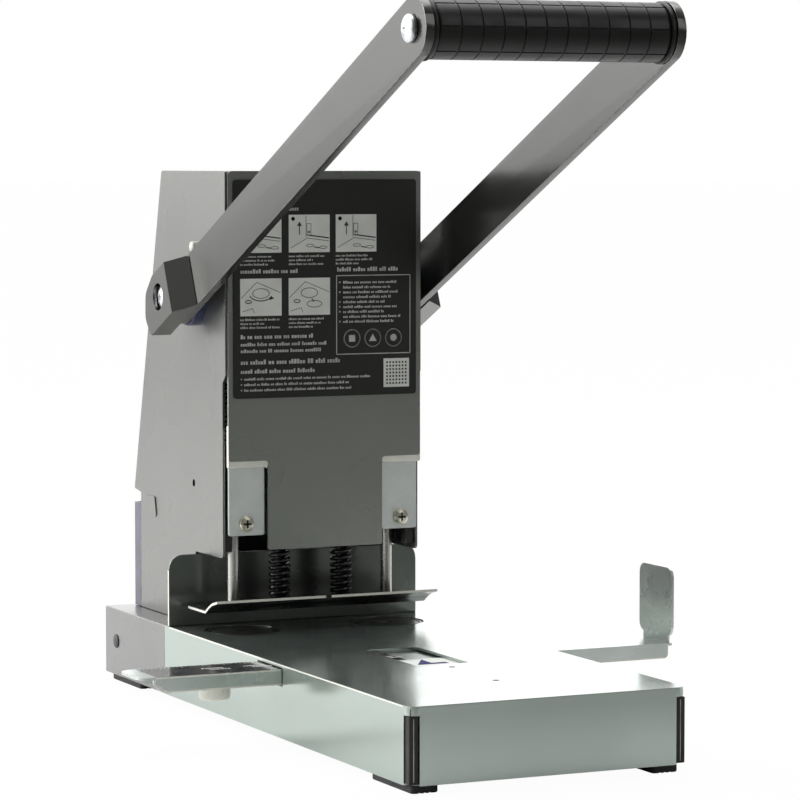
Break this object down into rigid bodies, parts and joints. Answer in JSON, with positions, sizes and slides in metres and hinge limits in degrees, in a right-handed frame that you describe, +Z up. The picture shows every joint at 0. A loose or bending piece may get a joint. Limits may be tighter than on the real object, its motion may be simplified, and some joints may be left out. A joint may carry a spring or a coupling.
{
  "type": "hole punch",
  "caption": "Lever hole punch: tall tower on a long flat base, rack-driven cutters, spring pressure plate, bridge handle and a sliding paper guide.",
  "frame": {"origin": "centre of the overall box's footprint, on the surface the feet stand on", "axes": "+Z up, -Y towards the user and the grip, +X to the side where the paper guide's flag is"},
  "size_m": [0.264, 0.3617, 0.325],
  "materials": {
    "base_enamel": "satin metallic enamel",
    "tower_enamel": "satin metallic dark grey enamel",
    "arm_enamel": "satin metallic grey enamel",
    "black_metal": "semi-gloss black",
    "black_spring": "black phosphate",
    "zinc": "zinc plated, slightly mottled",
    "polished_steel": "polished",
    "machined_steel": "machined, lightly oiled",
    "tinted_steel": "blue-violet passivated",
    "grip_rubber": "matt moulded",
    "foot_rubber": "matt",
    "black_plastic": "moulded",
    "board_plastic": "moulded, scored in use",
    "label": "printed film",
    "cream_plastic": "moulded",
    "pointer": "printed",
    "block_brass": "machined"
  },
  "bodies": {
    "frame": {"base_cover": "base_enamel", "base_rear_shell": "base_enamel", "bottom_plate": "zinc", "foot_front_left": "foot_rubber", "foot_front_right": "foot_rubber", "foot_rear_left": "foot_rubber", "foot_rear_right": "foot_rubber", "board_plate": "zinc", "stop_plate": "black_metal", "side_plate_left": "tower_enamel", "side_plate_right": "tower_enamel", "front_panel": "tower_enamel", "label_plate": "label", "top_cover": "tower_enamel", "rear_cover": "tower_enamel", "rear_bracket": "tinted_steel", "bushing_left": "tinted_steel", "bushing_right": "tinted_steel", "head_rails_left": "black_metal", "head_rails_right": "black_metal", "spring_bracket": "zinc", "return_spring_left": "black_spring", "return_spring_right": "black_spring", "guide_channel": "zinc", "pointer_plate": "pointer"},
    "lever": {"main_shaft": "polished_steel", "drive_pinion_left": "machined_steel", "drive_pinion_right": "machined_steel", "arm_left": "arm_enamel", "arm_right": "arm_enamel", "hub_cap_left": "arm_enamel", "hub_cap_right": "arm_enamel", "hub_bolt_left": "zinc", "hub_bolt_right": "zinc", "grip_core": "polished_steel", "grip_sleeve": "grip_rubber", "grip_bolt_left": "zinc", "grip_bolt_right": "zinc"},
    "punch_head": {"head_crossbar": "machined_steel", "slide_block_left": "block_brass", "slide_block_right": "block_brass", "rack_left": "machined_steel", "rack_right": "machined_steel", "clamp_plate_left": "zinc", "clamp_plate_right": "zinc", "clamp_screw_left": "zinc", "clamp_screw_right": "zinc", "cutter_left": "polished_steel", "cutter_right": "polished_steel", "pressure_spring_left": "black_spring", "pressure_spring_right": "black_spring"},
    "pressure_plate": {"pressure_plate": "black_metal", "plate_pin_left": "polished_steel", "plate_pin_right": "polished_steel"},
    "paper_guide": {"guide_bar": "zinc", "guide_knob": "cream_plastic"},
    "chip_tray": {"chip_tray": "black_plastic"},
    "board_left": {"punch_board_left": "board_plastic"},
    "board_right": {"punch_board_right": "board_plastic"}
  },
  "joints": [
    {"name": "lever_pivot", "type": "hinge", "parent": "frame", "child": "lever", "pos_m": [0, 0.09333, 0.194], "axis": [1, 0, 0], "range_deg": [0, 48], "stiffness_Nm_per_rad": 2, "springref_deg": -57.3},
    {"name": "head_slide", "type": "slide", "parent": "frame", "child": "punch_head", "axis": [0, 0, -1], "range_m": [0, 0.01195], "deforming": ["return_spring_left", "return_spring_right"]},
    {"name": "pressure_plate_slide", "type": "slide", "parent": "punch_head", "child": "pressure_plate", "axis": [0, 0, 1], "range_m": [0, 0.0036], "deforming": ["pressure_spring_left", "pressure_spring_right"]},
    {"name": "guide_slide", "type": "slide", "parent": "frame", "child": "paper_guide", "axis": [1, 0, 0], "range_m": [-0.062, 0.0175]},
    {"name": "tray_slide", "type": "slide", "parent": "frame", "child": "chip_tray", "axis": [0, 1, 0], "range_m": [0, 0.06]},
    {"name": "board_left_turn", "type": "hinge", "parent": "frame", "child": "board_left", "pos_m": [-0.0375, 0.06803, 0.0361], "axis": [0, 0, 1], "continuous": true},
    {"name": "board_right_turn", "type": "hinge", "parent": "frame", "child": "board_right", "pos_m": [0.0375, 0.06803, 0.0361], "axis": [0, 0, 1], "continuous": true}
  ],
  "couplings": [
    {"joint": "head_slide", "follows": "lever_pivot", "m_per_rad": 0.01425},
    {"joint": "pressure_plate_slide", "follows": "lever_pivot", "m_per_rad": 0.0041}
  ]
}
